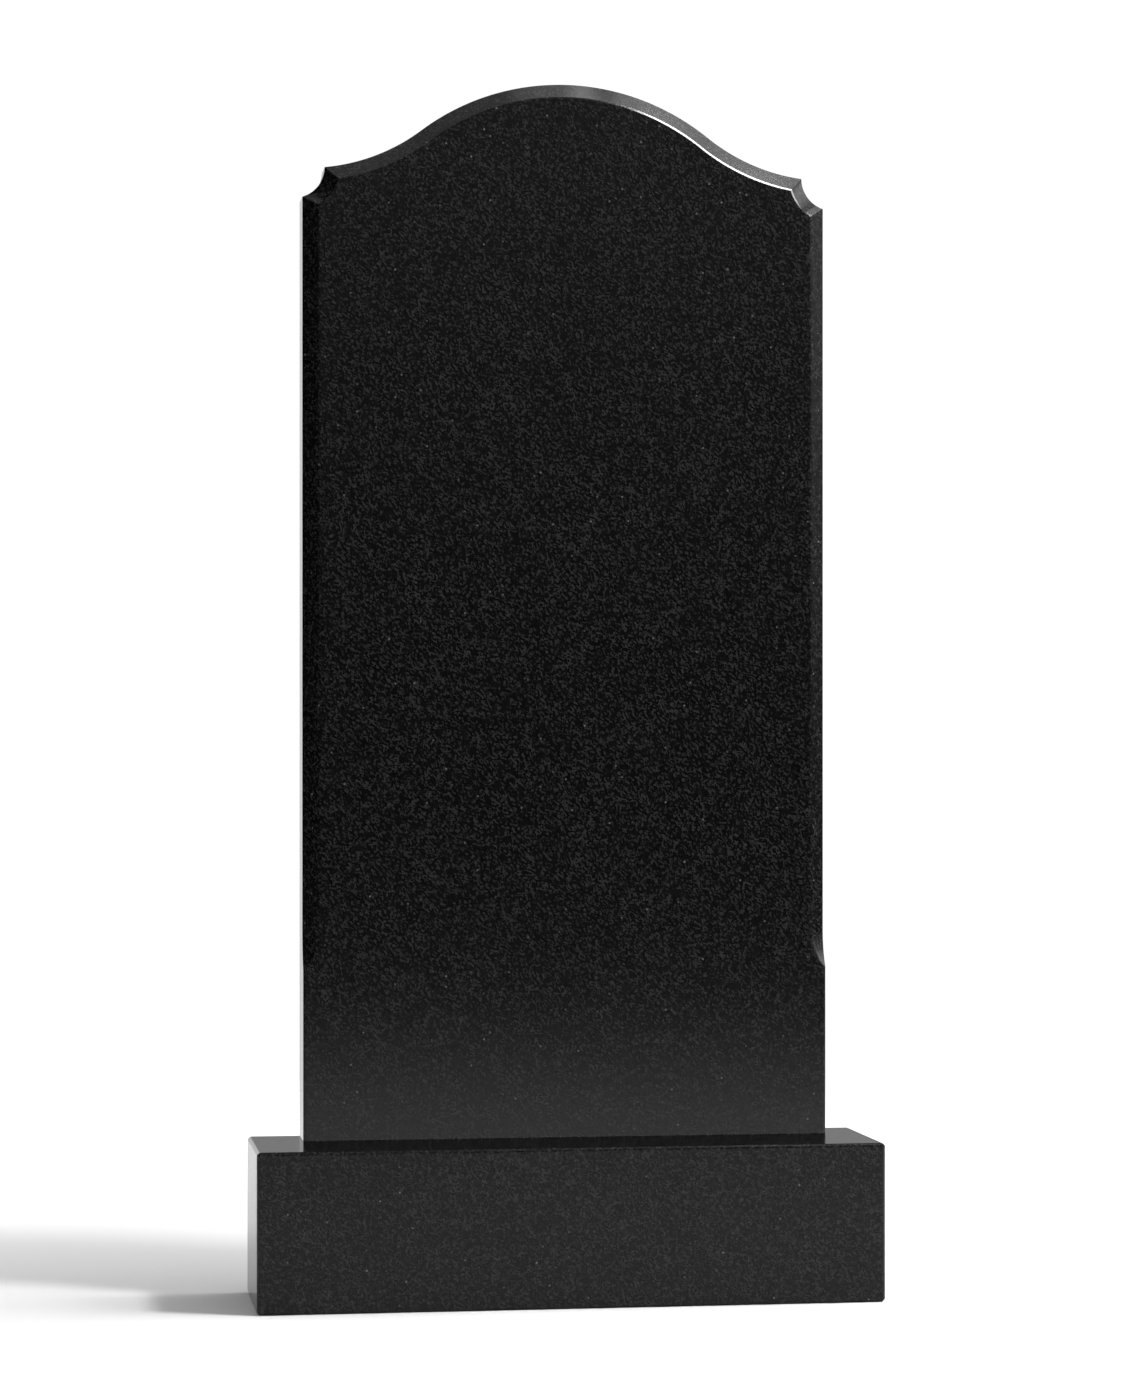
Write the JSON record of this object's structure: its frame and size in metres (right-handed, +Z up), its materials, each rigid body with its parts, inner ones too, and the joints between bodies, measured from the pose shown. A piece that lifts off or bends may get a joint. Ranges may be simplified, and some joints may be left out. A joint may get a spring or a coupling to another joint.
{
  "type": "headstone",
  "caption": "Upright ogee-headed headstone slab in polished black granite with notched shoulders and a chamfered front edge, standing on an oblong plinth.",
  "frame": {"origin": "centre of the plinth's underside, on the ground plane", "axes": "+Z up, +X to the right as seen from the front, +Y from the carved front towards the back"},
  "size_m": [0.584, 0.15, 1.1463],
  "materials": {
    "slab_granite": "mirror polished black granite with a fine grey crystal speckle",
    "plinth_granite": "mirror polished black granite with a fine grey crystal speckle, sawn underside"
  },
  "bodies": {
    "root": {"headstone_slab": "slab_granite", "plinth": "plinth_granite"}
  },
  "joints": []
}
